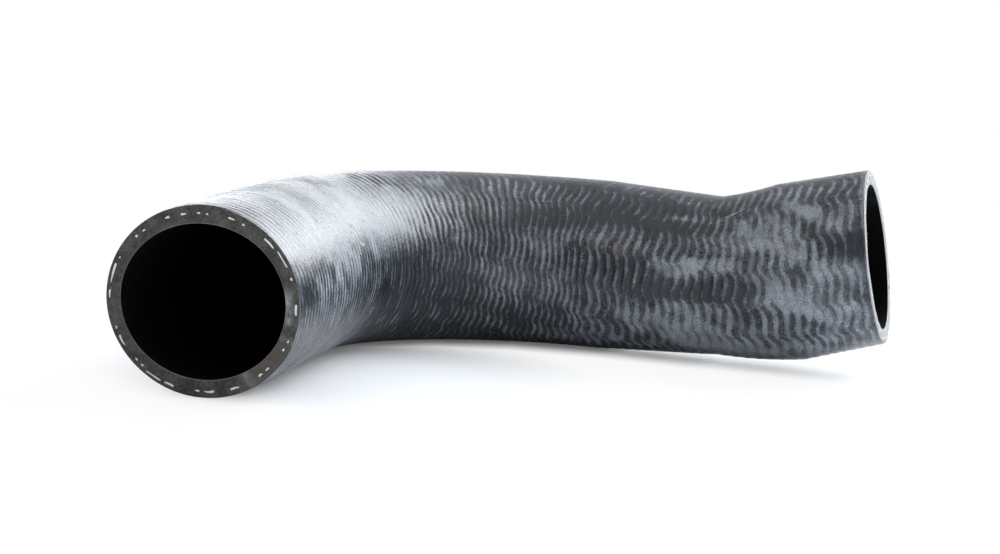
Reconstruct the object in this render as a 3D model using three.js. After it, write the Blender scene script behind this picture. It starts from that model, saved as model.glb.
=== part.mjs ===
// Radiator hose.
// One moulded rubber hose with a wide front bend, a slim waist and a belled rear end that kicks upwards.
// Its outside carries the fine ribs that the wrapping tape leaves before the rubber is cured.
// Millimetres and degrees, +Z up. It lies on z = 0 as it would rest, under the middle of its box.
// The front mouth faces -Y, the middle runs towards +X and the rear mouth faces +X.

import * as THREE from "three";

// Outside diameters along the hose, over the tops of the ribs
const FRONT_DIAMETER = 60;
const BODY_DIAMETER = 61.4;
const WAIST_DIAMETER = 57.4;
const BELL_DIAMETER = 63.8;
const REAR_DIAMETER = 61.8;

// The wall, from the bore to the tops of the ribs
const WALL = 5.1;

// Straight lengths, and the length over which the front end grows to the body's diameter
const FRONT_LEG_LENGTH = 102;
const MIDDLE_LEG_LENGTH = 36;
const REAR_LEG_LENGTH = 28;
const FRONT_TAPER_LENGTH = 22;

// Bend radii, at the centreline
const FRONT_BEND_RADIUS = 83;
const REAR_BEND_RADIUS = 136;

// Headings from +X towards +Y; only the rear leg rises above the horizontal
const FRONT_LEG_HEADING = 80;
const MIDDLE_LEG_HEADING = -19;
const REAR_LEG_HEADING = -16;
const REAR_LEG_RISE = 15;

// The bell opens over this length, centred this far past the middle of the rear bend
const BELL_LENGTH = 26;
const BELL_CENTRE_OFFSET = 2;

// Both ends are cut by hand, a little off square. A positive lean puts the top of the cut further along
// the hose, and a positive turn its right-hand side. The ribs behind a cut come round to it over its reach.
const FRONT_CUT_LEAN = -7;
const FRONT_CUT_TURN = 4;
const REAR_CUT_LEAN = 5;
const REAR_CUT_TURN = 2;
const CUT_REACH = 40;

// Ribs left by the wrapping tape
const RIB_PITCH = 3.5;
const RIB_DEPTH = 0.3;

// Fineness of the faceted surface
const SIDES = 26;
const BORE_STEP = 15;

const UP = new THREE.Vector3(0, 0, 1);

// Unit vector of a heading and a rise in degrees
function direction(heading, rise) {
  const turn = THREE.MathUtils.degToRad(heading);
  const lift = THREE.MathUtils.degToRad(rise);
  return new THREE.Vector3(
    Math.cos(lift) * Math.cos(turn),
    Math.cos(lift) * Math.sin(turn),
    Math.sin(lift),
  );
}

// A circular arc that leaves start along one direction and ends along another
class Bend extends THREE.Curve {
  constructor(start, from, to, radius) {
    super();
    this.start = start;
    this.from = from;
    this.radius = radius;
    this.angle = from.angleTo(to);
    this.inward = to.clone().addScaledVector(from, -from.dot(to)).normalize();
  }

  getPoint(t, target = new THREE.Vector3()) {
    const turned = this.angle * t;
    return target
      .copy(this.start)
      .addScaledVector(this.from, this.radius * Math.sin(turned))
      .addScaledVector(this.inward, this.radius * (1 - Math.cos(turned)));
  }
}

// Straight legs joined by bends, from the front mouth to the rear mouth
function centreline() {
  const directions = [
    direction(FRONT_LEG_HEADING, 0),
    direction(MIDDLE_LEG_HEADING, 0),
    direction(REAR_LEG_HEADING, REAR_LEG_RISE),
  ];
  const lengths = [FRONT_LEG_LENGTH, MIDDLE_LEG_LENGTH, REAR_LEG_LENGTH];
  const radii = [FRONT_BEND_RADIUS, REAR_BEND_RADIUS];
  const path = new THREE.CurvePath();
  let point = new THREE.Vector3();
  directions.forEach((along, index) => {
    const legEnd = point.clone().addScaledVector(along, lengths[index]);
    path.add(new THREE.LineCurve3(point, legEnd));
    point = legEnd;
    if (index < radii.length) {
      const bend = new Bend(point, along, directions[index + 1], radii[index]);
      path.add(bend);
      point = bend.getPoint(1);
    }
  });
  return path;
}

// Distances along the centreline at which the outside diameter is set, straight tapers between them
function diameterKnots(path) {
  const [, frontBendEnd, middleLegEnd, rearBendEnd, rearMouth] = path.getCurveLengths();
  const bellCentre = (middleLegEnd + rearBendEnd) / 2 + BELL_CENTRE_OFFSET;
  return [
    { at: 0, diameter: FRONT_DIAMETER },
    { at: FRONT_TAPER_LENGTH, diameter: BODY_DIAMETER },
    { at: frontBendEnd, diameter: BODY_DIAMETER },
    { at: bellCentre - BELL_LENGTH / 2, diameter: WAIST_DIAMETER },
    { at: bellCentre + BELL_LENGTH / 2, diameter: BELL_DIAMETER },
    { at: rearMouth, diameter: REAR_DIAMETER },
  ];
}

function outsideRadius(knots, distance) {
  let diameter = knots[0].diameter;
  for (let index = 1; index < knots.length; index += 1) {
    const [before, after] = [knots[index - 1], knots[index]];
    const share = THREE.MathUtils.inverseLerp(before.at, after.at, distance);
    diameter += THREE.MathUtils.clamp(share, 0, 1) * (after.diameter - before.diameter);
  }
  return diameter / 2;
}

// How far a ring leans along the hose per millimetre up and to the side, fullest at the cuts
function slantAt(distance, length) {
  const frontShare = 1 - THREE.MathUtils.smoothstep(distance, 0, CUT_REACH);
  const rearShare = THREE.MathUtils.smoothstep(distance, length - CUT_REACH, length);
  const slope = (front, rear) =>
    frontShare * Math.tan(THREE.MathUtils.degToRad(front)) + rearShare * Math.tan(THREE.MathUtils.degToRad(rear));
  return { up: slope(FRONT_CUT_LEAN, REAR_CUT_LEAN), side: slope(FRONT_CUT_TURN, REAR_CUT_TURN) };
}

// Points round the hose at one distance along the centreline
function ring(path, distance, radius) {
  const length = path.getLength();
  const centre = path.getPointAt(distance / length);
  const along = path.getTangentAt(distance / length);
  const side = new THREE.Vector3().crossVectors(along, UP).normalize();
  const up = new THREE.Vector3().crossVectors(side, along);
  const slant = slantAt(distance, length);
  return Array.from({ length: SIDES }, (_, index) => {
    const angle = (2 * Math.PI * index) / SIDES;
    const across = radius * Math.cos(angle);
    const above = radius * Math.sin(angle);
    return centre
      .clone()
      .addScaledVector(side, across)
      .addScaledVector(up, above)
      .addScaledVector(along, slant.side * across + slant.up * above);
  });
}

// Rings over the ribs from front to rear: each rib has a top and a groove, and both mouths end on a top
function outsideRings(path, knots) {
  const length = path.getLength();
  const ribs = Math.round(length / RIB_PITCH);
  return Array.from({ length: 2 * ribs + 1 }, (_, index) => {
    const distance = (length * index) / (2 * ribs);
    const depth = index % 2 === 0 ? 0 : RIB_DEPTH;
    return ring(path, distance, outsideRadius(knots, distance) - depth);
  });
}

// Rings down the smooth bore, from rear to front
function boreRings(path, knots) {
  const length = path.getLength();
  const steps = Math.ceil(length / BORE_STEP);
  return Array.from({ length: steps + 1 }, (_, index) => {
    const distance = length * (1 - index / steps);
    return ring(path, distance, outsideRadius(knots, distance) - WALL);
  });
}

// One closed skin: over the outside, across the rear cut, back down the bore and across the front cut
function hoseGeometry() {
  const path = centreline();
  const knots = diameterKnots(path);
  const rings = [...outsideRings(path, knots), ...boreRings(path, knots)];
  const faces = [];
  rings.forEach((_, row) => {
    const nextRow = (row + 1) % rings.length;
    for (let column = 0; column < SIDES; column += 1) {
      const nextColumn = (column + 1) % SIDES;
      const here = row * SIDES + column;
      const beside = row * SIDES + nextColumn;
      const ahead = nextRow * SIDES + column;
      const across = nextRow * SIDES + nextColumn;
      faces.push(here, ahead, across, here, across, beside);
    }
  });
  const geometry = new THREE.BufferGeometry().setFromPoints(rings.flat());
  geometry.setIndex(faces);
  return geometry;
}

// Stands the lowest point on z = 0 with the middle of the box over the origin
function restOnOrigin(geometry) {
  geometry.computeBoundingBox();
  const { min, max } = geometry.boundingBox;
  geometry.translate(-(min.x + max.x) / 2, -(min.y + max.y) / 2, -min.z);
  geometry.computeVertexNormals();
  return geometry;
}

const rubber = new THREE.MeshStandardMaterial({ color: 0x2a2c30, roughness: 0.5, metalness: 0 });

const hose = new THREE.Mesh(restOnOrigin(hoseGeometry()), rubber);
hose.name = "hose";

const radiatorHose = new THREE.Group();
radiatorHose.name = "radiator_hose";
radiatorHose.add(hose);

export default radiatorHose;
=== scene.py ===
import math

import bmesh
import bpy
import numpy as np
from bpy.props import FloatProperty, FloatVectorProperty, IntProperty, PointerProperty
from mathutils import Matrix, Vector


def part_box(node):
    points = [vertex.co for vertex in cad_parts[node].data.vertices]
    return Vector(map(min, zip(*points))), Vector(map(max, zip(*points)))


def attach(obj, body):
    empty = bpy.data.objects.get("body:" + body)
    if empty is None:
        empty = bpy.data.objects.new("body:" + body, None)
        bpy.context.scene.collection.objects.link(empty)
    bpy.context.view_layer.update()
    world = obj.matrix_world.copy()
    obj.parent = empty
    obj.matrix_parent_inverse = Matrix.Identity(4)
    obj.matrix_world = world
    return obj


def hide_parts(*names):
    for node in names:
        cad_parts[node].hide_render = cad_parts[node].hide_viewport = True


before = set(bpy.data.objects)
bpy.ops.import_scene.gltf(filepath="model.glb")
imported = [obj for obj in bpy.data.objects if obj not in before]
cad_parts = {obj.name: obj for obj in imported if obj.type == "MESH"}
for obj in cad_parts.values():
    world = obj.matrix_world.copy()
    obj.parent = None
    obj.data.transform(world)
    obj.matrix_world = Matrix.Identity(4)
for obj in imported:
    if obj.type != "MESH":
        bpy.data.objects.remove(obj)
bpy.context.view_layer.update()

bl_info = {
    "name": "Radiator Hose",
    "version": (1, 0, 0),
    "blender": (4, 5, 0),
    "location": "View3D > Sidebar > Radiator Hose",
    "description": "Builds a bent, tape-wrapped radiator hose with its cut ends, yarn ends and studio",
    "category": "Object",
}

MM = 0.001
NODE_LOW, NODE_HIGH = (Vector(corner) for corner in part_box("hose"))

# Fineness of the hose's skin
SIDES = 126
RINGS_A_RIB = 7
BORE_CUTS = 60
PATH_STEP = 2 * MM
# Share of the wall reached by each loop of a cut face, and how far it stands back there in millimetres
RIM_LOOPS = (
    (0.0, 0.45), (0.045, 0.12), (0.12, 0.0), (0.32, 0.0), (0.5, 0.0), (0.68, 0.0), (0.86, 0.0),
    (0.95, 0.06), (1.0, 0.3),
)

SEED = 7

# The CAD hose has 26 sides, and the flats of its bell set the top of its box
CAD_SIDES = 26
INSIDE_CAD = 0.05 * MM

# Rows in which the wrapping tape folded: count round the hose, drift in rows per millimetre along, and start
FOLD_ROWS = 16
FOLD_DRIFT = 0.0089
FOLD_START = 0.82

# The front cut: angles in degrees between which it is shaved, and how close in metres counts as on a cut
FACET_FROM = 302
FACET_TO = 339
ON_CUT = 1e-6

# Colours that only mark the hose, apart from those in the panel
WORN_RUBBER = (0.022, 0.027, 0.037, 1)
BROWN_STAIN = (0.150, 0.125, 0.105, 1)
SCUFF_GREY = (0.42, 0.44, 0.47, 1)
TORN_RUBBER = (0.105, 0.094, 0.087, 1)
SHAVED_RUBBER = (0.095, 0.078, 0.066, 1)
CREASE_GREY = (0.20, 0.20, 0.205, 1)
SCRAPE_GREY = (0.30, 0.32, 0.345, 1)
# Pale grey of the painted sheen on the rear cut face
REAR_PAINTED_SHEEN = (0.33, 0.335, 0.345, 1)
BORE_EDGE = (0.40, 0.41, 0.43, 1)
BORE_BLACK = (0.0015, 0.0015, 0.0015, 1)
BORE_BLOOM = (0.004, 0.004, 0.0045, 1)
SOILED_YARN = (0.45, 0.44, 0.43, 1)

# The studio. The floor keeps its own shade near the hose: points along the hose between which it does, and
# how white the floor is right beside each stretch. These and the crook's point suit the camera below.
FLOOR_SIZE = 30.0
FLOOR_COLOUR = (0.90, 0.922, 0.955, 1)
FLOOR_POINTS = (0.03, 0.10, 0.14, 0.175, 0.21, 0.245, 0.28, 0.34)
FLOOR_WHITES = (0.10, 0.10, 0.10, 0.10, 0.12, 0.25, 0.40)
CROOK = (-0.062, -0.020, 0.0)
LAMP_COLOUR = (0.92, 0.96, 1.0)
CAMERA_PLACE = (-0.00479, -0.87498, 0.13897)
CAMERA_PITCH = math.radians(6.975)
CAMERA_YAW = math.radians(0.429)
CAMERA_ROLL = math.radians(3.406)


# Sizes and colours that a user would change

def length_size(name, description, default):
    return FloatProperty(name=name, description=description, default=default, unit="LENGTH")


def angle_size(name, description, degrees):
    return FloatProperty(name=name, description=description, default=math.radians(degrees), subtype="ANGLE")


def colour_choice(name, description, default):
    return FloatVectorProperty(name=name, description=description, size=3, subtype="COLOR", default=default)


def lamp_power(name, description, default):
    return FloatProperty(name=name, description=description, default=default, min=0.0, unit="POWER")


class HoseSizes(bpy.types.PropertyGroup):
    """Sizes of the moulded hose"""
    front_diameter: length_size("Front diameter", "Outside diameter at the front cut", 0.060)
    body_diameter: length_size("Body diameter", "Outside diameter round the wide bend", 0.0614)
    waist_diameter: length_size("Waist diameter", "Outside diameter at the slim waist", 0.0574)
    bell_diameter: length_size("Bell diameter", "Outside diameter where the bell is widest", 0.0638)
    rear_diameter: length_size("Rear diameter", "Outside diameter at the rear cut", 0.0618)
    wall: length_size("Wall", "Thickness of the rubber", 0.0051)
    front_leg: length_size("Front leg", "Straight length behind the front cut", 0.102)
    middle_leg: length_size("Middle leg", "Straight length between the bends", 0.036)
    rear_leg: length_size("Rear leg", "Straight length before the rear cut", 0.028)
    front_taper: length_size("Front taper", "Length over which the front end grows to the body", 0.022)
    front_bend: length_size("Front bend radius", "Radius of the wide bend's centreline", 0.083)
    rear_bend: length_size("Rear bend radius", "Radius of the rear bend's centreline", 0.136)
    front_heading: angle_size("Front heading", "Heading of the front leg from X", 80)
    middle_heading: angle_size("Middle heading", "Heading of the middle leg", -19)
    rear_heading: angle_size("Rear heading", "Heading of the rear leg", -16)
    rear_rise: angle_size("Rear rise", "Rise of the rear leg", 15)
    bell_length: length_size("Bell length", "Length over which the bell opens", 0.026)
    bell_offset: length_size("Bell offset", "Bell's centre past the middle of the rear bend", 0.002)
    front_lean: angle_size("Front cut lean", "Lean of the front cut", -7)
    front_turn: angle_size("Front cut turn", "Turn of the front cut", 4)
    rear_lean: angle_size("Rear cut lean", "Lean of the rear cut", 5)
    rear_turn: angle_size("Rear cut turn", "Turn of the rear cut", 2)
    cut_reach: length_size("Cut reach", "Length over which the ribs come round to a cut", 0.040)
    ribs: IntProperty(
        name="Ribs", description="Ribs that the wrapping tape leaves", default=99, min=20, max=100)
    rib_depth: length_size("Rib depth", "Depth of the grooves between the ribs", 0.00036)


class HoseFinish(bpy.types.PropertyGroup):
    """Colours of the rubber, the cut faces and the yarn"""
    rubber: colour_choice("Rubber", "Colour of the bare rubber", (0.008, 0.010, 0.015))
    # This colour of the chalky bloom also paints the highlight on the top of the front leg
    chalk_and_highlight: colour_choice("Chalk", "Colour of the chalky bloom on the ribs", (0.320, 0.350, 0.390))
    cut_face: colour_choice("Cut face", "Colour of the cut rubber", (0.028, 0.026, 0.025))
    yarn: colour_choice("Yarn", "Colour of the yarn's cut ends", (0.80, 0.80, 0.78))


class HoseStudio(bpy.types.PropertyGroup):
    """Backdrop and lamps"""
    backdrop: colour_choice("Backdrop", "Colour of the world and of the floor's glow", (1.0, 1.0, 1.0))
    top_power: lamp_power("Overhead softbox", "Power of the softbox over the hose", 8.0)
    rear_power: lamp_power("Rear softbox", "Power of the softbox behind the hose", 17.0)
    side_power: lamp_power("Side softbox", "Power of the softbox behind the right end", 33.0)
    room: FloatProperty(
        name="Room light", description="Strength of the world's light on the object", default=0.55, min=0.0)
    lens: FloatProperty(
        name="Lens", description="Focal length of the camera in millimetres", default=93.6, min=1.0)


# The centreline and what varies along it

def heading(turn, lift):
    """Unit vector of a heading from X and a rise"""
    return np.array([math.cos(lift) * math.cos(turn), math.cos(lift) * math.sin(turn), math.sin(lift)])


class Centreline:
    """Straight legs joined by circular bends, sampled finely"""

    def __init__(self, sizes):
        ways = [heading(sizes.front_heading, 0), heading(sizes.middle_heading, 0),
                heading(sizes.rear_heading, sizes.rear_rise)]
        legs = [sizes.front_leg, sizes.middle_leg, sizes.rear_leg]
        bends = [sizes.front_bend, sizes.rear_bend]
        point = np.zeros(3)
        points, tangents, marks = [], [], []
        for index, way in enumerate(ways):
            steps = np.linspace(0, legs[index], max(2, round(legs[index] / PATH_STEP)) + 1)
            points += [point + way * step for step in steps]
            tangents += [way for _ in steps]
            point = point + way * legs[index]
            marks.append(legs[index])
            if index < len(bends):
                radius, onward = bends[index], ways[index + 1]
                turned = math.acos(float(np.dot(way, onward)))
                inward = onward - way * np.dot(way, onward)
                inward /= np.linalg.norm(inward)
                angles = np.linspace(0, turned, max(4, round(radius * turned / PATH_STEP)) + 1)
                points += [point + radius * (math.sin(a) * way + (1 - math.cos(a)) * inward)
                           for a in angles[1:-1]]
                tangents += [math.cos(a) * way + math.sin(a) * inward for a in angles[1:-1]]
                point = point + radius * (math.sin(turned) * way + (1 - math.cos(turned)) * inward)
                marks.append(radius * turned)
        self.points = np.array(points)
        self.tangents = np.array(tangents)
        spans = np.linalg.norm(np.diff(self.points, axis=0), axis=1)
        self.at = np.concatenate([[0], np.cumsum(spans)])
        self.marks = np.cumsum(marks)
        self.length = float(self.marks[-1])
        self.at *= self.length / self.at[-1]

    def sample(self, values, distance):
        """Values of an array along the line at some distances"""
        return np.stack([np.interp(distance, self.at, values[:, axis]) for axis in range(3)], axis=-1)

    def frames(self, distance):
        """Centre, tangent, side and up vectors at some distances"""
        centre = self.sample(self.points, distance)
        along = self.sample(self.tangents, distance)
        along /= np.linalg.norm(along, axis=-1, keepdims=True)
        side = np.cross(along, [0.0, 0.0, 1.0])
        side /= np.linalg.norm(side, axis=-1, keepdims=True)
        return centre, along, side, np.cross(side, along)


def smoothstep(low, high, value):
    """Smooth share from 0 at low to 1 at high"""
    share = np.clip((value - low) / (high - low), 0, 1)
    return share * share * (3 - 2 * share)


def outside_radius(sizes, line, distance):
    """Radius over the tops of the ribs, with straight tapers between the knots"""
    bell = (line.marks[2] + line.marks[3]) / 2 + sizes.bell_offset
    opening = sizes.bell_length / 2
    knots = [0, sizes.front_taper, line.marks[1], bell - opening, bell + opening, line.length]
    diameters = [sizes.front_diameter, sizes.body_diameter, sizes.body_diameter, sizes.waist_diameter,
                 sizes.bell_diameter, sizes.rear_diameter]
    flats = 1 - (1 - math.cos(math.pi / CAD_SIDES)) * smoothstep(0.20, 0.30, distance)
    return np.interp(distance, knots, diameters) / 2 * flats - INSIDE_CAD


def cut_slant(sizes, line, distance):
    """How far a ring leans along the hose per metre up and to the side"""
    front = 1 - smoothstep(0, sizes.cut_reach, distance)
    rear = smoothstep(line.length - sizes.cut_reach, line.length, distance)
    up = front * math.tan(sizes.front_lean) + rear * math.tan(sizes.rear_lean)
    side = front * math.tan(sizes.front_turn) + rear * math.tan(sizes.rear_turn)
    return up, side


def on_hose(sizes, line, distance, angle, radius, push):
    """Points at some distances along, angles round and radii, pushed along the hose by a little"""
    across, above = radius * np.cos(angle), radius * np.sin(angle)
    lean_up, lean_side = cut_slant(sizes, line, distance)
    centre, along, side, up = line.frames(distance)
    shift = lean_up * above + lean_side * across + push
    return centre + side * across[:, None] + up * above[:, None] + along * shift[:, None]


def drift(distance, angle, length, turns, seed, count=14):
    """Smooth random field over the skin, about -1 to 1, seamless round the hose"""
    rng = np.random.default_rng(seed)
    total = np.zeros_like(distance)
    for _ in range(count):
        wave = rng.uniform(-1, 1) / length
        round_count = rng.integers(-turns, turns + 1)
        total += np.sin(2 * math.pi * wave * distance + round_count * angle + rng.uniform(0, 2 * math.pi))
    return total / math.sqrt(count / 2) / 1.6


def rib_phase(sizes, line, distance, angle):
    """Count of ribs from the front, with the wrap's helix and folded rows, and the gaps between rows"""
    turn = angle / (2 * math.pi)
    rows = FOLD_ROWS * turn + FOLD_DRIFT * distance / MM + FOLD_START
    rows = rows + 0.30 * drift(distance, angle, 0.11, 3, SEED)
    cell = rows - np.floor(rows)
    bulge = 1 - (2 * cell - 1) ** 2
    tilt = (cell - 0.5) * smoothstep(0, 0.2, cell) * (1 - smoothstep(0.8, 1, cell))
    folded = 0.10 + 0.90 * smoothstep(0.125, 0.17, distance)
    folded = folded + 0.30 * drift(distance, angle, 0.05, 5, SEED + 1)
    wander = 0.16 * drift(distance, angle, 0.06, 4, SEED + 2) * smoothstep(0.03, 0.16, distance)
    fine = 0.09 * drift(distance, angle, 0.02, 18, SEED + 3) * smoothstep(0.01, 0.2, distance)
    held = smoothstep(0, 0.004, distance) * smoothstep(0, 0.004, line.length - distance)
    scallop = -folded * (0.42 * (bulge - 0.67) + 0.55 * tilt)
    phase = distance / line.length * sizes.ribs + 2 * turn + held * (scallop + wander + fine)
    return phase, np.clip(folded, 0, 1) * (1 - bulge) ** 2


# Marks on the skin: distance along in mm, angle round in degrees (0 faces the near side and 90 the top),
# half length in mm, half width in degrees, strength. Those beyond 90 degrees either way are guessed.
# Chalk is real bloom, and on the top of the front leg, in its first 170 mm, also a painted highlight
CHALK_AND_PAINTED_HIGHLIGHT = (
    (44, 0, 26, 14, 0.30), (112, 24, 26, 14, 0.35), (60, 14, 18, 12, 0.40), (80, 60, 90, 40, 0.40),
    (140, 50, 35, 26, 0.35), (43, 62, 4, 28, 0.55), (50, 24, 4, 18, 0.35), (215, -10, 36, 13, 0.28),
    (224, 19, 13, 8, 0.55), (184, 22, 14, 9, 0.10), (244, 25, 8, 6, 0.30), (235, -52, 18, 9, 0.40),
    (240, -32, 20, 12, 0.14), (276, -32, 20, 18, 0.65), (300, -46, 32, 16, 0.65), (295, -62, 34, 10, 0.60),
    (255, -30, 14, 12, 0.20), (281, 10, 8, 6, 1.10), (293, 13, 9, 6, 1.20), (286, 4, 10, 4, 0.40),
    (62, 16, 16, 10, 0.30), (273, 47, 13, 3.5, 0.90), (298, 28, 15, 10, 0.50), (316, 32, 14, 16, 0.90),
    (262, 24, 12, 8, 0.20), (300, 64, 34, 12, 0.20), (330, 58, 20, 16, 0.25), (330, -12, 14, 22, 0.70),
    (318, -14, 12, 10, 0.50), (340, -40, 12, 16, 0.45), (335, 32, 10, 10, 0.50), (310, 10, 12, 8, 0.60),
    (312, 2, 7, 5, 0.35), (300, -22, 20, 10, 0.40), (292, -56, 26, 10, 0.40), (340, 0, 12, 8, 0.35),
    (300, 44, 10, 3, 0.35), (60, 150, 30, 24, 0.45), (200, 165, 40, 18, 0.45), (296, 150, 26, 22, 0.55),
    (120, -150, 34, 20, 0.35), (250, -130, 30, 14, 0.45), (20, -120, 14, 24, 0.30),
)
BARE = (
    (8, 5, 7, 9, 0.60), (135, -16, 30, 30, 0.55), (178, -18, 10, 22, 0.40), (215, 36, 45, 6, 0.35),
    (256, 0, 16, 9, 0.20), (290, -6, 21, 8, 0.42), (306, -22, 8, 8, 0.40), (341, 12, 9, 8, 0.75),
    (150, -56, 60, 18, 0.35), (215, -38, 22, 12, 0.20), (266, 56, 26, 9, 0.60), (262, 42, 30, 8, 0.75),
    (318, -44, 8, 10, 0.25), (240, -72, 60, 10, 0.30), (352, 30, 5, 40, 0.20), (245, 80, 110, 16, 0.25),
    (24, -32, 26, 12, 0.85), (52, -46, 30, 14, 0.70), (120, 135, 38, 16, 0.45), (252, 172, 30, 12, 0.50),
    (165, -165, 46, 14, 0.40), (322, -155, 20, 20, 0.50), (75, -170, 26, 16, 0.40),
    (335, 120, 10, 18, 0.40),
)
STAINED = (
    (253, 17, 10, 3, 0.8), (308, 17, 14, 3, 0.9), (298, 21, 8, 3, 0.5), (256, 22, 6, 4, 0.5),
    (246, -44, 6, 6, 0.4),
)
SMOOTH = (
    (43, 62, 3.2, 28, 0.75), (128, 50, 34, 36, 0.45), (165, 46, 26, 26, 0.35), (13, -48, 7, 7, 0.4),
    (120, -20, 30, 18, 0.2), (305, 50, 16, 14, 0.4), (320, 34, 12, 14, 0.5), (250, 84, 90, 14, 0.6),
)
SCUFFED = (
    (292, 46, 14, 8, 1.0), (98, 2, 6, 8, 0.6), (336, 48, 6, 4, 0.8), (266, 46, 20, 4, 0.5),
    (300, -20, 12, 10, 0.4),
)

# Single scratches: distance and angle at which each starts and ends, and its half width in millimetres
SCRATCHES = (
    (288.5, 44, 300.6, 54, 0.22), (287.5, 44, 298.6, 52, 0.16), (291.5, 44, 303.6, 56, 0.20),
    (295.5, 46, 306.6, 54, 0.16), (340.7, 46, 345.0, 46, 0.26), (112, 4, 118, -2, 0.22),
    (118, -2, 124, -10, 0.18), (83, 24, 86, 22, 0.75),
)


def marks(spots, distance, angle):
    """Sum of soft oval marks, each with ragged edges"""
    ragged = 0.35 * drift(distance, angle, 0.012, 22, SEED + 9)
    total = np.zeros_like(distance)
    for along, around, length, width, strength in spots:
        gap = (np.degrees(angle) - around + 180) % 360 - 180
        reach = np.hypot((distance / MM - along) / length, gap / width)
        total += strength * smoothstep(1.40, 0.55, reach + ragged)
    return total


# Shaping

def select_where(mesh, test):
    """Selects just the edges of the edited mesh that pass a test"""
    edited = bmesh.from_edit_mesh(mesh)
    for face in edited.faces:
        face.select_set(False)
    for vert in edited.verts:
        vert.select_set(False)
    for edge in edited.edges:
        if test(edge):
            edge.select_set(True)
    bmesh.update_edit_mesh(mesh)


def upright(edge):
    return abs(edge.verts[0].co.z - edge.verts[1].co.z) > 1e-5


def select_only(*pieces):
    """Selects just these objects and makes the first one active"""
    bpy.ops.object.select_all(action="DESELECT")
    for piece in pieces:
        piece.select_set(True)
    bpy.context.view_layer.objects.active = pieces[0]


def straight_hose(sizes, length):
    """The hose before it is bent: skin, cut faces and bore, standing on its front cut"""
    radius = sizes.body_diameter / 2
    bpy.ops.object.select_all(action="DESELECT")
    bpy.ops.mesh.primitive_cylinder_add(
        vertices=SIDES, radius=radius, depth=length, end_fill_type="NOTHING", location=(0, 0, length / 2))
    hose = bpy.context.object
    hose.name = hose.data.name = "hose_rubber"
    bpy.ops.object.transform_apply(location=True, rotation=True, scale=True)
    bpy.ops.object.mode_set(mode="EDIT")
    bpy.ops.mesh.select_mode(type="EDGE")
    select_where(hose.data, upright)
    bpy.ops.mesh.subdivide(number_cuts=sizes.ribs - 1)
    select_where(hose.data, upright)
    bpy.ops.mesh.subdivide(number_cuts=RINGS_A_RIB - 1)
    for end in (0.0, length):
        select_where(hose.data, lambda edge: edge.is_boundary
                     and all(abs(v.co.z - end) < ON_CUT for v in edge.verts)
                     and abs(edge.verts[0].co.xy.length - radius) < 1e-5)
        before = radius
        for share, _ in RIM_LOOPS[1:]:
            after = radius - sizes.wall * share
            bpy.ops.mesh.extrude_region_move()
            bpy.ops.transform.resize(value=(after / before, after / before, 1), center_override=(0, 0, end))
            before = after
    select_where(hose.data, lambda edge: edge.is_boundary)
    bpy.ops.mesh.bridge_edge_loops(number_cuts=BORE_CUTS)
    bpy.ops.mesh.select_all(action="SELECT")
    bpy.ops.mesh.normals_make_consistent(inside=False)
    bpy.ops.object.mode_set(mode="OBJECT")
    return hose


def mesh_array(mesh):
    """Places of a mesh's vertices"""
    flat = np.empty(len(mesh.vertices) * 3)
    mesh.vertices.foreach_get("co", flat)
    return flat.reshape(-1, 3).copy()


def paint(mesh, name, values):
    """Keeps a value on every vertex for the materials"""
    layer = mesh.attributes.new(name, "FLOAT", "POINT")
    layer.data.foreach_set("value", np.asarray(values, dtype=np.float32))


def wall_at(sizes, distance, angle):
    """Thickness of the wall: thinner at both sides of the front cut than above and below"""
    near_front = 1 - smoothstep(0, 0.05, distance)
    return sizes.wall - near_front * 0.62 * MM * np.cos(2 * angle)


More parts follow.
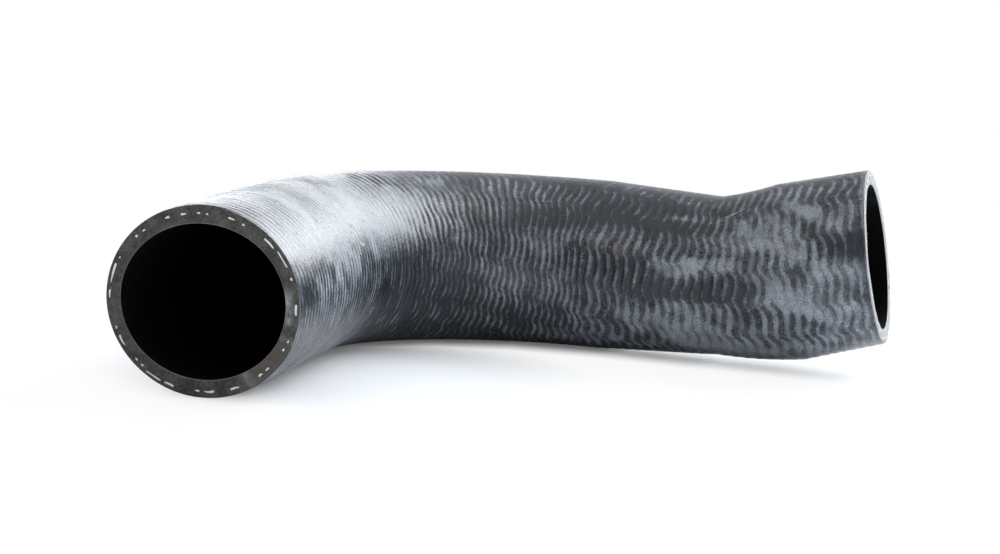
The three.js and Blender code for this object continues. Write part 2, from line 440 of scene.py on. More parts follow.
def shape_hose(sizes, hose):
    """Gives the straight hose its tapers, ribs, slanted cuts and bends, and keeps its masks"""
    line = Centreline(sizes)
    mesh = hose.data
    spot = mesh_array(mesh)
    base = sizes.body_diameter / 2
    distance = np.clip(spot[:, 2], 0, line.length)
    angle = np.arctan2(spot[:, 1], spot[:, 0])
    depth_share = np.clip((base - np.hypot(spot[:, 0], spot[:, 1])) / sizes.wall, 0, 1)
    on_skin = depth_share < 1e-3
    phase, row_gap = rib_phase(sizes, line, distance, angle)
    groove = (1 - np.cos(2 * math.pi * phase)) / 2
    crest = 1 - groove
    smooth = np.clip(marks(SMOOTH, distance, angle), 0, 0.95)
    liveliness = 0.85 + 0.3 * drift(distance, angle, 0.03, 9, SEED + 4)
    shallow = 0.65 + 0.35 * smoothstep(0.10, 0.17, distance)
    # The ribs are shallower at the top and the bottom, where they would make the outline ragged
    above_or_below = smoothstep(0.5, 0.95, np.abs(np.sin(angle)))
    shallow = shallow * (1 - 0.75 * above_or_below * smoothstep(0.13, 0.18, distance))
    sunk = sizes.rib_depth * (1 - crest) * (1 - smooth) * liveliness * shallow * on_skin
    outside = outside_radius(sizes, line, distance)
    outside = outside + 0.05 * MM * (drift(distance, angle, 0.05, 4, SEED + 5) - 0.6) * (depth_share < 0.5)
    radius = outside - sunk - depth_share * wall_at(sizes, distance, angle)
    # Rounded edges of both cuts stand back from the cut faces
    at_front = distance < ON_CUT
    at_cut = at_front | (distance > line.length - ON_CUT)
    off_edge = depth_share > 0.01
    shares = np.array([share for share, _ in RIM_LOOPS])
    backs = np.array([back for _, back in RIM_LOOPS]) * MM
    back = np.interp(depth_share, shares, backs) * at_cut
    uneven = 0.12 * MM * drift(depth_share * 0.01, angle, 0.01, 14, SEED + 6)
    uneven = uneven * at_cut * off_edge * (depth_share < 0.97)
    inward = np.where(distance < line.length / 2, 1.0, -1.0)
    degrees = np.degrees(angle) % 360
    shaved = smoothstep(FACET_FROM - 1, FACET_FROM + 2, degrees)
    facet = shaved * (1 - smoothstep(FACET_TO - 2, FACET_TO + 2, degrees)) * at_front * off_edge
    beside = (degrees + 180) % 360 - 180
    scrape = smoothstep(-16, -8, beside) * (1 - smoothstep(4, 14, beside))
    back = back + facet * (0.35 + 0.5 * smoothstep(0.2, 0.9, depth_share)) * MM
    placed = on_hose(sizes, line, distance, angle, radius, inward * (back + np.abs(uneven)))
    low, high = placed.min(axis=0), placed.max(axis=0)
    offset = (np.array(NODE_LOW) + np.array(NODE_HIGH)) / 2 - (low + high) / 2
    offset[2] = NODE_LOW.z - low[2]
    placed += offset
    mesh.vertices.foreach_set("co", placed.ravel())
    mesh.update()
    straight = mesh.attributes.new("straight", "FLOAT_VECTOR", "POINT")
    straight.data.foreach_set("vector", spot.astype(np.float32).ravel())
    creases = sum(smoothstep(3.5, 0.5, np.abs(degrees - edge)) for edge in (FACET_FROM, FACET_TO))
    for name, values in (
        ("rib_cos", np.cos(2 * math.pi * phase)),
        ("rib_sin", np.sin(2 * math.pi * phase)),
        ("row_gap", row_gap),
        # Rougher at the top, where the low light behind the hose would wash out its outline
        ("matt", smoothstep(0.125, 0.185, distance) * smoothstep(0.62, 0.94, np.sin(angle))),
        ("smooth", smooth),
        # Chalky bloom, with the painted highlight on the front leg's top; bare marks take it away
        ("chalk_and_highlight", marks(CHALK_AND_PAINTED_HIGHLIGHT, distance, angle) - marks(BARE, distance, angle)),
        ("scuffed", marks(SCUFFED, distance, angle)),
        ("stained", marks(STAINED, distance, angle)),
        # Where the rear cut face takes its painted sheen
        ("rear_share", smoothstep(0.18, 0.30, distance)),
        ("depth_share", depth_share),
        ("facet", facet),
        ("facet_edge", creases * at_front * off_edge),
        ("scrape", scrape * at_front * smoothstep(0.3, 0.8, depth_share)),
    ):
        paint(mesh, name, values)
    return offset


def face_groups(mesh):
    """Splits the faces into skin, cut faces and bore"""
    shares = np.empty(len(mesh.vertices), dtype=np.float32)
    mesh.attributes["depth_share"].data.foreach_get("value", shares)
    slots = []
    for polygon in mesh.polygons:
        own = [shares[v] for v in polygon.vertices]
        low, high = min(own), max(own)
        slots.append(0 if high < 0.08 else 2 if low > 0.97 else 1)
    mesh.polygons.foreach_set("material_index", slots)
    mesh.update()


# Materials

def node_group(name, inputs, outputs):
    """A shader node group with its sockets and its two end nodes"""
    tree = bpy.data.node_groups.new(name, "ShaderNodeTree")
    for label, kind, default in inputs:
        socket = tree.interface.new_socket(name=label, in_out="INPUT", socket_type=kind)
        if default is not None:
            socket.default_value = default
    for label, kind in outputs:
        tree.interface.new_socket(name=label, in_out="OUTPUT", socket_type=kind)
    start = tree.nodes.new("NodeGroupInput")
    end = tree.nodes.new("NodeGroupOutput")
    return tree, start, end


class Wires:
    """Short words for adding and joining nodes"""

    def __init__(self, tree):
        self.tree = tree

    def add(self, kind, inputs=None, **settings):
        node = self.tree.nodes.new(kind)
        for key, value in settings.items():
            setattr(node, key, value)
        for key, value in (inputs or {}).items():
            if isinstance(value, bpy.types.NodeSocket):
                self.tree.links.new(value, node.inputs[key])
            else:
                node.inputs[key].default_value = value
        return node

    def math(self, operation, *values, clamp=False):
        inputs = dict(enumerate(values))
        return self.add("ShaderNodeMath", inputs, operation=operation, use_clamp=clamp).outputs[0]

    def times(self, first, second):
        return self.math("MULTIPLY", first, second)

    def vector(self, operation, *values, scale=None):
        inputs = dict(enumerate(values)) | ({} if scale is None else {"Scale": scale})
        node = self.add("ShaderNodeVectorMath", inputs, operation=operation)
        return node.outputs["Value" if operation in ("DOT_PRODUCT", "DISTANCE") else "Vector"]

    def ramp(self, value, low, high, start=0.0, end=1.0):
        inputs = {0: value, 1: low, 2: high, 3: start, 4: end}
        return self.add("ShaderNodeMapRange", inputs, interpolation_type="SMOOTHSTEP").outputs[0]

    def mix(self, share, first, second, blend="MIX"):
        node = self.add("ShaderNodeMix", data_type="RGBA", blend_type=blend)
        for socket, value in ((node.inputs[0], share), (node.inputs[6], first), (node.inputs[7], second)):
            if isinstance(value, bpy.types.NodeSocket):
                self.tree.links.new(value, socket)
            else:
                socket.default_value = value
        return node.outputs[2]

    def noise(self, vector, scale, detail=3.0, roughness=0.55, distortion=0.0):
        inputs = {"Vector": vector, "Scale": scale, "Detail": detail, "Roughness": roughness,
                  "Distortion": distortion}
        return self.add("ShaderNodeTexNoise", inputs).outputs["Fac"]

    def join(self, source, target):
        self.tree.links.new(source, target)


def grain_group():
    """Fine pitted grain of moulded rubber, as a height"""
    tree, start, end = node_group(
        "rubber_grain", [("Vector", "NodeSocketVector", None), ("Scale", "NodeSocketFloat", 900.0)],
        [("Height", "NodeSocketFloat")])
    wires = Wires(tree)
    fine = wires.noise(start.outputs["Vector"], start.outputs["Scale"], 4.0, 0.6)
    coarse_scale = wires.times(start.outputs["Scale"], 0.22)
    coarse = wires.noise(start.outputs["Vector"], coarse_scale, 3.0, 0.5)
    wires.join(wires.math("MULTIPLY_ADD", coarse, 0.6, wires.times(fine, 0.4)), end.inputs["Height"])
    return tree


def scuff_group():
    """Thin pale scratches in clusters, as a mask"""
    tree, start, end = node_group(
        "scuffs", [("Vector", "NodeSocketVector", None), ("Turn", "NodeSocketFloat", 0.6),
                   ("Amount", "NodeSocketFloat", 0.5)],
        [("Mask", "NodeSocketFloat")])
    wires = Wires(tree)
    inputs = {"Vector": start.outputs["Vector"], "Angle": start.outputs["Turn"]}
    turned = wires.add("ShaderNodeVectorRotate", inputs, rotation_type="Y_AXIS").outputs[0]
    stretched = wires.vector("MULTIPLY", turned, (70.0, 420.0, 1500.0))
    lines = wires.noise(stretched, 1.0, 2.0, 0.6, 0.3)
    thin = wires.ramp(lines, 0.62, 0.70)
    where = wires.ramp(wires.noise(start.outputs["Vector"], 45.0, 2.0, 0.5), 0.52, 0.66)
    wires.join(wires.times(wires.times(thin, where), start.outputs["Amount"]), end.inputs["Mask"])
    return tree


def segment_group():
    """Distance to the straight line between two points"""
    tree, start, end = node_group(
        "segment_distance", [("Vector", "NodeSocketVector", None), ("Start", "NodeSocketVector", None),
                             ("End", "NodeSocketVector", None)],
        [("Distance", "NodeSocketFloat")])
    wires = Wires(tree)
    span = wires.vector("SUBTRACT", start.outputs["End"], start.outputs["Start"])
    gap = wires.vector("SUBTRACT", start.outputs["Vector"], start.outputs["Start"])
    squared = wires.vector("DOT_PRODUCT", span, span)
    share = wires.math("DIVIDE", wires.vector("DOT_PRODUCT", gap, span), squared, clamp=True)
    nearest = wires.vector("SCALE", span, scale=share)
    wires.join(wires.vector("DISTANCE", gap, nearest), end.inputs["Distance"])
    return tree


def scratch_group():
    """One thin straight scratch between two points, broken up a little, as a mask"""
    tree, start, end = node_group(
        "scratch", [("Vector", "NodeSocketVector", None), ("Start", "NodeSocketVector", None),
                    ("End", "NodeSocketVector", None), ("Width", "NodeSocketFloat", 0.0002)],
        [("Mask", "NodeSocketFloat")])
    wires = Wires(tree)
    place, width = start.outputs["Vector"], start.outputs["Width"]
    beside = use_group(wires, shared_group("segment_distance"), Vector=place, Start=start.outputs["Start"],
                       End=start.outputs["End"]).outputs["Distance"]
    line = wires.ramp(beside, wires.times(width, 0.3), width, 1.0, 0.0)
    broken = wires.ramp(wires.noise(place, 1100.0, 2.0, 0.6), 0.40, 0.52, 0.25, 1.0)
    wires.join(wires.times(line, broken), end.inputs["Mask"])
    return tree


def blotch_group():
    """Cloudy bloom of two sizes, as a value about zero"""
    tree, start, end = node_group(
        "blotches", [("Vector", "NodeSocketVector", None), ("Scale", "NodeSocketFloat", 60.0)],
        [("Value", "NodeSocketFloat")])
    wires = Wires(tree)
    large = wires.noise(start.outputs["Vector"], start.outputs["Scale"], 4.0, 0.62, 0.4)
    fine_scale = wires.times(start.outputs["Scale"], 7.0)
    fine = wires.noise(start.outputs["Vector"], fine_scale, 4.0, 0.7, 0.6)
    both = wires.math("MULTIPLY_ADD", fine, 0.6, large)
    wires.join(wires.math("SUBTRACT", both, 0.8), end.inputs["Value"])
    return tree


def new_material(name):
    material = bpy.data.materials.new(name)
    material.use_nodes = True
    wires = Wires(material.node_tree)
    shader = material.node_tree.nodes["Principled BSDF"]
    place = wires.add("ShaderNodeTexCoord").outputs["Object"]
    return material, wires, shader, place


def read_value(wires, name):
    return wires.add("ShaderNodeAttribute", attribute_name=name).outputs["Fac"]


def use_group(wires, tree, **values):
    node = wires.add("ShaderNodeGroup", node_tree=tree)
    for key, value in values.items():
        if isinstance(value, bpy.types.NodeSocket):
            wires.join(value, node.inputs[key])
        else:
            node.inputs[key].default_value = value
    return node


def pitted(wires, shader, groups, place, scale, strength, depth):
    """Gives a shader the moulded grain as a bump"""
    grain = use_group(wires, groups["rubber_grain"], Vector=place, Scale=scale).outputs["Height"]
    bump = wires.add("ShaderNodeBump", {"Height": grain, "Strength": strength, "Distance": depth})
    wires.join(bump.outputs[0], shader.inputs["Normal"])


def skin_material(finish, groups, scratches):
    """Ribbed outside: dark rubber, chalky crests, cloudy bloom, painted highlight on the front leg, brown
    stains, scuffs
    """
    material, wires, shader, place = new_material("wrapped_rubber")
    # The ribs are read as cosine and sine, which have no seam where the angle round the hose starts again
    phase = {"X": read_value(wires, "rib_cos"), "Y": read_value(wires, "rib_sin")}
    ribs = wires.add("ShaderNodeCombineXYZ", phase)
    wave = wires.add("ShaderNodeSeparateXYZ", {0: wires.vector("NORMALIZE", ribs.outputs[0])}).outputs["X"]
    plain = wires.math("SUBTRACT", 1.0, read_value(wires, "smooth"))
    crest = wires.math("MULTIPLY_ADD", wires.times(wave, plain), 0.5, 0.5)
    cloud = use_group(wires, groups["blotches"], Vector=place, Scale=60.0).outputs["Value"]
    mottle = wires.math("SUBTRACT", wires.noise(place, 620.0, 6.0, 0.8, 1.0), 0.5)
    scuffs = use_group(wires, groups["scuffs"], Vector=place, Turn=0.6, Amount=0.8).outputs["Mask"]
    scuffs = wires.times(scuffs, read_value(wires, "scuffed"))
    for start, end, width in scratches:
        scratch = use_group(wires, groups["scratch"], Vector=place, Start=start, End=end, Width=width)
        scuffs = wires.math("MAXIMUM", scuffs, scratch.outputs["Mask"])
    # Chalk sits on the crests first, and a thin film of it lies in the grooves where the bloom is heavy
    # These marks also hold the painted highlight on the front leg's top
    bloom = wires.math("MAXIMUM", read_value(wires, "chalk_and_highlight"), -0.62)
    load = wires.math("MULTIPLY_ADD", mottle, 1.9, wires.times(bloom, 0.7))
    load = wires.math("MULTIPLY_ADD", cloud, 0.40, load)
    # Streaks follow the crests round the hose, in the coordinates that it had before it was bent
    straight = wires.add("ShaderNodeAttribute", attribute_name="straight").outputs["Vector"]
    streak = wires.noise(wires.vector("MULTIPLY", straight, (85.0, 85.0, 340.0)), 1.0, 3.0, 0.6)
    load = wires.math("MULTIPLY_ADD", wires.math("SUBTRACT", streak, 0.5), 2.0, load)
    load = wires.math("MULTIPLY_ADD", read_value(wires, "row_gap"), -0.30, load)
    pale = wires.ramp(wires.math("MULTIPLY_ADD", crest, 0.95, load), 0.28, 1.32)
    film_load = wires.math("MULTIPLY_ADD", mottle, 4.2, wires.math("MULTIPLY_ADD", cloud, 0.7, bloom))
    film = wires.ramp(film_load, -0.25, 1.5, 0.0, 0.62)
    patchy = wires.ramp(wires.noise(place, 130.0, 4.0, 0.65), 0.3, 0.7, 0.40, 0.95)
    patchy = wires.math("MULTIPLY_ADD", wires.math("MAXIMUM", bloom, 0.0), 0.18, patchy)
    speckled = wires.ramp(wires.noise(place, 1700.0, 3.0, 0.75), 0.36, 0.64, 0.45, 1.2)
    pale_amount = wires.times(wires.math("MAXIMUM", pale, film), patchy)
    pale_amount = wires.times(pale_amount, speckled)
    deep = wires.ramp(wires.noise(place, 75.0, 4.0, 0.6), 0.35, 0.7)
    rubber = wires.mix(deep, (*finish.rubber, 1), WORN_RUBBER)
    # The pale colour: chalky bloom, and the painted highlight on the front leg's top
    colour = wires.mix(pale_amount, rubber, (*finish.chalk_and_highlight, 1))
    stain = wires.times(read_value(wires, "stained"), wires.ramp(mottle, -0.06, 0.12, 0.0, 0.9))
    colour = wires.mix(stain, colour, BROWN_STAIN)
    colour = wires.mix(scuffs, colour, SCUFF_GREY)
    wires.join(colour, shader.inputs["Base Color"])
    grazed = wires.ramp(wires.noise(place, 330.0, 5.0, 0.7, 1.5), 0.60, 0.68, 0.0, 0.3)
    rough = wires.ramp(pale_amount, 0.0, 1.0, 0.27, 0.58)
    rough = wires.math("MULTIPLY_ADD", read_value(wires, "matt"), 0.36, rough)
    wires.join(wires.math("ADD", rough, grazed), shader.inputs["Roughness"])
    pitted(wires, shader, groups, place, 1100.0, 0.8, 0.00045)
    return material


def cut_material(finish, groups):
    """Cut faces: grey-brown rubber, scraped in front, with a speckled painted sheen at the rear, and paler at
    the bore's edge
    """
    material, wires, shader, place = new_material("cut_rubber")
    depth = read_value(wires, "depth_share")
    rear = read_value(wires, "rear_share")
    cloud = use_group(wires, groups["blotches"], Vector=place, Scale=170.0).outputs["Value"]
    fine = wires.noise(place, 1500.0, 3.0, 0.7)
    torn = wires.ramp(wires.math("MULTIPLY_ADD", fine, 0.9, wires.math("SUBTRACT", cloud, 0.45)), -0.20, 0.28)
    edge = wires.ramp(depth, 0.95, 0.985)
    scraped = wires.times(read_value(wires, "scrape"), wires.ramp(cloud, -0.25, 0.15))
    colour = wires.mix(torn, (*finish.cut_face, 1), TORN_RUBBER)
    colour = wires.mix(wires.times(read_value(wires, "facet"), 0.6), colour, SHAVED_RUBBER)
    creases = wires.times(read_value(wires, "facet_edge"), wires.ramp(cloud, -0.25, 0.15, 0.1, 0.7))
    colour = wires.mix(creases, colour, CREASE_GREY)
    colour = wires.mix(scraped, colour, SCRAPE_GREY)
    # The rear cut face is painted pale grey with speckles, a painted sheen of the light behind it
    painted_rear_sheen = wires.times(rear, wires.ramp(fine, 0.35, 0.60, 0.55, 0.95))
    colour = wires.mix(painted_rear_sheen, colour, REAR_PAINTED_SHEEN)
    colour = wires.mix(wires.times(edge, 0.28), colour, BORE_EDGE)
    wires.join(colour, shader.inputs["Base Color"])
    wires.join(wires.ramp(torn, 0.0, 1.0, 0.5, 0.7), shader.inputs["Roughness"])
    shader.inputs["Specular IOR Level"].default_value = 0.35
    pitted(wires, shader, groups, place, 700.0, 0.7, 0.0004)
    return material


def bore_material(groups):
    """Bore: smooth black rubber with a faint bloom"""
    material, wires, shader, place = new_material("bore_rubber")
    cloud = use_group(wires, groups["blotches"], Vector=place, Scale=40.0).outputs["Value"]
    colour = wires.mix(wires.ramp(cloud, 0.0, 0.5), BORE_BLACK, BORE_BLOOM)
    wires.join(colour, shader.inputs["Base Color"])
    wires.join(wires.ramp(cloud, -0.3, 0.3, 0.75, 0.95), shader.inputs["Roughness"])
    shader.inputs["Specular IOR Level"].default_value = 0.12
    pitted(wires, shader, groups, place, 800.0, 0.3, 0.0002)
    return material


def yarn_material(finish, groups):
    """Cut yarn: off-white, a little soiled"""
    material, wires, shader, place = new_material("cut_yarn")
    cloud = use_group(wires, groups["blotches"], Vector=place, Scale=300.0).outputs["Value"]
    colour = wires.mix(wires.ramp(cloud, -0.1, 0.4), (*finish.yarn, 1), SOILED_YARN)
    wires.join(colour, shader.inputs["Base Color"])
    wires.join(wires.ramp(cloud, -0.3, 0.3, 0.4, 0.6), shader.inputs["Roughness"])
    return material


def shared_group(name):
    """A node group, made the first time it is asked for"""
    makers = {"rubber_grain": grain_group, "scuffs": scuff_group, "segment_distance": segment_group,
              "scratch": scratch_group, "blotches": blotch_group}
    return bpy.data.node_groups.get(name) or makers[name]()


def shared_groups():
    """The node groups of the rubber and the yarn"""
    return {name: shared_group(name) for name in ("rubber_grain", "scuffs", "scratch", "blotches")}


# Yarn ends in the front cut: angles round in degrees at which each starts and ends, and its share of the wall
FRONT_YARN = (
    (136, 138, 0.40), (130, 132, 0.42), (154, 155.5, 0.35), (92, 94, 0.45), (86.8, 88.2, 0.47),
    (62.5, 64.5, 0.42), (17.5, 19.5, 0.30), (199, 201, 0.36), (222.5, 224.5, 0.38), (227.5, 229.5, 0.37),
    (309, 312, 0.42), (315, 318, 0.42), (332, 334, 0.38), (338, 340, 0.34), (265.5, 268.5, 0.38),
    (112, 115, 0.42), (101, 104.5, 0.45), (159, 172, 0.30), (176, 181.5, 0.27), (69.5, 74, 0.40),
    (40, 48.5, 0.34), (26, 37.5, 0.29), (205, 212.5, 0.31), (232.5, 243.5, 0.28), (245.5, 252, 0.32),
    (271.5, 278, 0.35), (288.5, 294.5, 0.38), (-4, 3, 0.30),
)
REAR_YARN_COUNT = 30


def cut_ring(sizes, line, offset, end, angle, depth_share, proud):
    """Points on a cut face at some angles and a share of the wall, standing proud by a little"""
    distance = np.full_like(angle, 0.0 if end == "front" else line.length)
    outside = outside_radius(sizes, line, distance)
    radius = outside - depth_share * wall_at(sizes, distance, angle)
    outward = -1.0 if end == "front" else 1.0
    return on_hose(sizes, line, distance, angle, radius, outward * proud) + offset


def scratch_ends(sizes, line, offset):
    """Start, end and half width of each scratch, on the skin"""
    table = np.array(SCRATCHES)
    ends = []
    for along, around in ((0, 1), (2, 3)):
        distance = table[:, along] * MM
        radius = outside_radius(sizes, line, distance)
        angle = np.radians(table[:, around])
        ends.append(on_hose(sizes, line, distance, angle, radius, np.zeros_like(distance)) + offset)
    return [(Vector(start), Vector(end), width * MM) for start, end, width in zip(*ends, table[:, 4])]


# Operators

def own_material(piece, *materials):
    piece.data.materials.clear()
    for material in materials:
        piece.data.materials.append(material)


class OBJECT_OT_hose_rubber(bpy.types.Operator):
    """Make the moulded rubber hose with its ribs, cuts and bore"""
    bl_idname = "object.radiator_hose_rubber"
    bl_label = "Rubber hose"
    bl_options = {"REGISTER", "UNDO"}

    def execute(self, context):
        sizes, finish = context.scene.hose_sizes, context.scene.hose_finish
        line = Centreline(sizes)
        hose = straight_hose(sizes, line.length)
        offset = shape_hose(sizes, hose)
        context.scene["hose_offset"] = list(offset)
        select_only(hose)
        bpy.ops.object.shade_smooth_by_angle(angle=math.radians(50))
        groups = shared_groups()
        scratches = scratch_ends(sizes, line, offset)
        own_material(hose, skin_material(finish, groups, scratches), cut_material(finish, groups),
                     bore_material(groups))
        face_groups(hose.data)
        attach(hose, "root")
        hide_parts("hose")
        return {"FINISHED"}


def yarn_end():
    """One cut yarn end, a slug with rounded tips one metre long, to be set to size in its place"""
    bpy.ops.object.select_all(action="DESELECT")
    bpy.ops.mesh.primitive_uv_sphere_add(segments=10, ring_count=8, radius=0.5, rotation=(0, math.pi / 2, 0))
    slug = bpy.context.object
    bpy.ops.object.transform_apply(location=True, rotation=True, scale=True)
    bpy.ops.object.mode_set(mode="EDIT")
    edited = bmesh.from_edit_mesh(slug.data)
    for low, high, fuller in ((0.42, 0.48, 1.9), (0.30, 0.40, 1.36), (0.10, 0.25, 1.08)):
        for vert in edited.verts:
            vert.select_set(low < abs(vert.co.x) < high)
        bmesh.update_edit_mesh(slug.data)
        bpy.ops.transform.resize(value=(1, fuller, fuller), center_override=(0, 0, 0))
    bpy.ops.object.mode_set(mode="OBJECT")
    return slug


def place_yarn(name, slug, sizes, line, offset, end, spans):
    """Copies the yarn end into each place in a cut face and joins the copies"""
    shape = mesh_array(slug.data)
    rng = np.random.default_rng(SEED + (0 if end == "front" else 1))
    copies = []
    for start, stop, share in spans:
        select_only(slug)
        bpy.ops.object.duplicate()
        copy = bpy.context.object
        angle = np.radians(start + (shape[:, 0] + 0.5) * (stop - start))
        width = rng.uniform(0.42, 0.70) * MM
        wall = wall_at(sizes, np.full_like(angle, 0.0 if end == "front" else line.length), angle)
        proud = shape[:, 2] * 0.35 * MM
        swelling = 1 + rng.uniform(-1.1, 1.1) * shape[:, 0]
        curl = rng.uniform(-0.05, 0.05) * 4 * shape[:, 0] ** 2
        depth = share + curl + shape[:, 1] * swelling * width / wall
        placed = cut_ring(sizes, line, offset, end, angle, depth, proud)
        copy.data.vertices.foreach_set("co", placed.ravel())
        copy.data.update()
        copies.append(copy)
    select_only(*copies)
    bpy.ops.object.join()
    yarn = bpy.context.object
    yarn.name = yarn.data.name = name
    bpy.ops.object.mode_set(mode="EDIT")
    bpy.ops.mesh.select_all(action="SELECT")
    bpy.ops.mesh.normals_make_consistent(inside=False)
    bpy.ops.object.mode_set(mode="OBJECT")
    bpy.ops.object.shade_smooth()
    return yarn


class OBJECT_OT_hose_yarn(bpy.types.Operator):
    """Set the cut ends of the reinforcing yarn in both cut faces"""
    bl_idname = "object.radiator_hose_yarn"
    bl_label = "Yarn ends"
    bl_options = {"REGISTER", "UNDO"}

    def execute(self, context):
        sizes, finish = context.scene.hose_sizes, context.scene.hose_finish
        line = Centreline(sizes)
        offset = np.array(context.scene["hose_offset"])
        rng = np.random.default_rng(SEED)
        starts = np.arange(REAR_YARN_COUNT) * 360 / REAR_YARN_COUNT + rng.uniform(-3, 3, REAR_YARN_COUNT)
        rear = [(start, start + rng.uniform(1.5, 7), rng.uniform(0.28, 0.42)) for start in starts]
        slug = yarn_end()
        material = yarn_material(finish, shared_groups())
        for name, end, spans in (("yarn_ends_front", "front", FRONT_YARN), ("yarn_ends_rear", "rear", rear)):
            yarn = place_yarn(name, slug, sizes, line, offset, end, spans)
            own_material(yarn, material)
            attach(yarn, "root")
        bpy.data.objects.remove(slug)
        return {"FINISHED"}


class SCENE_OT_hose_studio(bpy.types.Operator):
    """Set the pale floor, the softboxes, the world and the camera"""
    bl_idname = "scene.radiator_hose_studio"
    bl_label = "Studio"
    bl_options = {"REGISTER", "UNDO"}

    def execute(self, context):
        studio = context.scene.hose_studio
        line = Centreline(context.scene.hose_sizes)
        corners = line.sample(line.points, np.array(FLOOR_POINTS))
        floor_and_backdrop(studio, corners + np.array(context.scene["hose_offset"]))
        world_light(context, studio)
        softboxes(studio)
        camera(context, studio)
        context.scene.view_settings.view_transform = "Standard"
        return {"FINISHED"}


def floor_and_backdrop(studio, corners):
    """A pale floor that keeps the hose's shadow and is white to the camera farther off"""
    bpy.ops.object.select_all(action="DESELECT")
    bpy.ops.mesh.primitive_plane_add(size=FLOOR_SIZE, location=(0, 0, 0))
    floor = bpy.context.object
    floor.name = floor.data.name = "floor"
    material, wires, shader, place = new_material("white_table")
    wires.join(wires.ramp(wires.noise(place, 2.0, 2.0), 0.0, 1.0, 0.45, 0.55), shader.inputs["Roughness"])
    shader.inputs["Base Color"].default_value = FLOOR_COLOUR
    shader.inputs["Specular IOR Level"].default_value = 0.1
    # Away from the hose and the crook of its bend the floor goes over into the white backdrop
    crook = wires.vector("DISTANCE", place, CROOK)
    white = wires.math("MAXIMUM", wires.ramp(crook, 0.042, 0.095, 0.12, 0.9), wires.ramp(crook, 0.10, 0.45))
    for start, end, lightest in zip(corners[:-1], corners[1:], FLOOR_WHITES):
        start[2] = end[2] = 0
        beside = use_group(wires, shared_group("segment_distance"), Vector=place, Start=tuple(start),
                           End=tuple(end)).outputs["Distance"]
        white = wires.math("MINIMUM", white, wires.ramp(beside, 0.003, 0.034, lightest, 1.0))
    rays = wires.add("ShaderNodeLightPath")
    far = wires.times(white, rays.outputs["Is Camera Ray"])
    glow = wires.add("ShaderNodeEmission", {"Color": (*studio.backdrop, 1), "Strength": 1.0})
    both = wires.add("ShaderNodeMixShader", {0: far, 1: shader.outputs[0], 2: glow.outputs[0]})
    # Seen from below it is clear, so that it never hides the hose's underside
    underneath = wires.add("ShaderNodeNewGeometry").outputs["Backfacing"]
    below = wires.times(underneath, rays.outputs["Is Camera Ray"])
    clear = wires.add("ShaderNodeBsdfTransparent")
    surface = wires.add("ShaderNodeMixShader", {0: below, 1: both.outputs[0], 2: clear.outputs[0]})
    wires.join(surface.outputs[0], material.node_tree.nodes["Material Output"].inputs["Surface"])
    own_material(floor, material)


def world_light(context, studio):
    """White to the camera, and an even soft light on the object"""
    world = bpy.data.worlds.new("studio")
    context.scene.world = world
    world.use_nodes = True
    wires = Wires(world.node_tree)
    background = world.node_tree.nodes["Background"]
    rays = wires.add("ShaderNodeLightPath")
    background.inputs["Color"].default_value = (*studio.backdrop, 1)
    strength = wires.ramp(rays.outputs["Is Camera Ray"], 0.0, 1.0, studio.room, 1.0)
    wires.join(strength, background.inputs["Strength"])


def softboxes(studio):
    """Large soft lamps: one overhead, and two behind the hose that its ribs reflect"""
    for name, spot, target, size, power in (
        ("overhead_softbox", (0.0, -0.35, 1.7), (0.0, 0.0, 0.0), (2.6, 1.6), studio.top_power),
        ("rear_softbox", (0.1, 1.6, 0.37), (0.0, 0.0, 0.03), (1.8, 0.72), studio.rear_power),
        ("side_softbox", (0.99, 0.70, 0.88), (0.0, 0.0, 0.03), (1.35, 1.03), studio.side_power),
    ):
        bpy.ops.object.light_add(type="AREA", location=spot)
        lamp = bpy.context.object
        lamp.name = name
        lamp.data.shape = "RECTANGLE"
        lamp.data.size, lamp.data.size_y = size
        lamp.data.energy = power
        lamp.data.color = LAMP_COLOUR
        lamp.visible_camera = False
        lamp.rotation_euler = (Vector(target) - Vector(spot)).to_track_quat("-Z", "Y").to_euler()


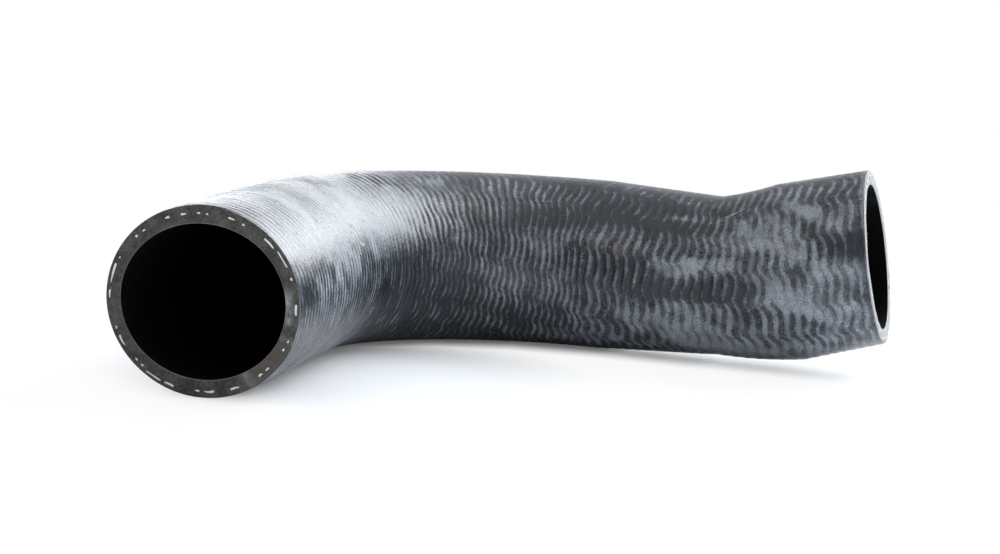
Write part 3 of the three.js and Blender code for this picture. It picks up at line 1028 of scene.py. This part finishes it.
def camera(context, studio):
    """The fitted camera, which looks along +Y, a little down, and leans a little to one side"""
    pitch, yaw, roll = CAMERA_PITCH, CAMERA_YAW, CAMERA_ROLL
    ahead = Vector((-math.sin(yaw) * math.cos(pitch), math.cos(yaw) * math.cos(pitch), -math.sin(pitch)))
    right = ahead.cross(Vector((0, 0, 1))).normalized()
    up = right.cross(ahead)
    turned_right = right * math.cos(roll) + up * math.sin(roll)
    turned_up = up * math.cos(roll) - right * math.sin(roll)
    bpy.ops.object.camera_add(location=CAMERA_PLACE)
    eye = bpy.context.object
    eye.name = "camera"
    eye.rotation_euler = Matrix((turned_right, turned_up, -ahead)).transposed().to_euler()
    eye.data.sensor_width = 36.0
    eye.data.lens = studio.lens
    eye.data.clip_start, eye.data.clip_end = 0.05, 60.0
    context.scene.camera = eye


class VIEW3D_PT_radiator_hose(bpy.types.Panel):
    """Sizes, finish and pieces of the radiator hose"""
    bl_label = "Radiator Hose"
    bl_space_type = "VIEW_3D"
    bl_region_type = "UI"
    bl_category = "Radiator Hose"

    def draw(self, context):
        scene = context.scene
        for group in (scene.hose_sizes, scene.hose_finish, scene.hose_studio):
            box = self.layout.box()
            for name in group.__annotations__:
                box.prop(group, name)
        for operator in OPERATORS:
            self.layout.operator(operator.bl_idname)


OPERATORS = (OBJECT_OT_hose_rubber, OBJECT_OT_hose_yarn, SCENE_OT_hose_studio)
GROUPS = {"hose_sizes": HoseSizes, "hose_finish": HoseFinish, "hose_studio": HoseStudio}


def register():
    for cls in (*GROUPS.values(), *OPERATORS, VIEW3D_PT_radiator_hose):
        bpy.utils.register_class(cls)
    for name, group in GROUPS.items():
        setattr(bpy.types.Scene, name, PointerProperty(type=group))


def unregister():
    for name in GROUPS:
        delattr(bpy.types.Scene, name)
    for cls in reversed((*GROUPS.values(), *OPERATORS, VIEW3D_PT_radiator_hose)):
        bpy.utils.unregister_class(cls)


def main():
    register()
    bpy.ops.object.radiator_hose_rubber()
    bpy.ops.object.radiator_hose_yarn()
    bpy.ops.scene.radiator_hose_studio()


if __name__ == "__main__":
    main()
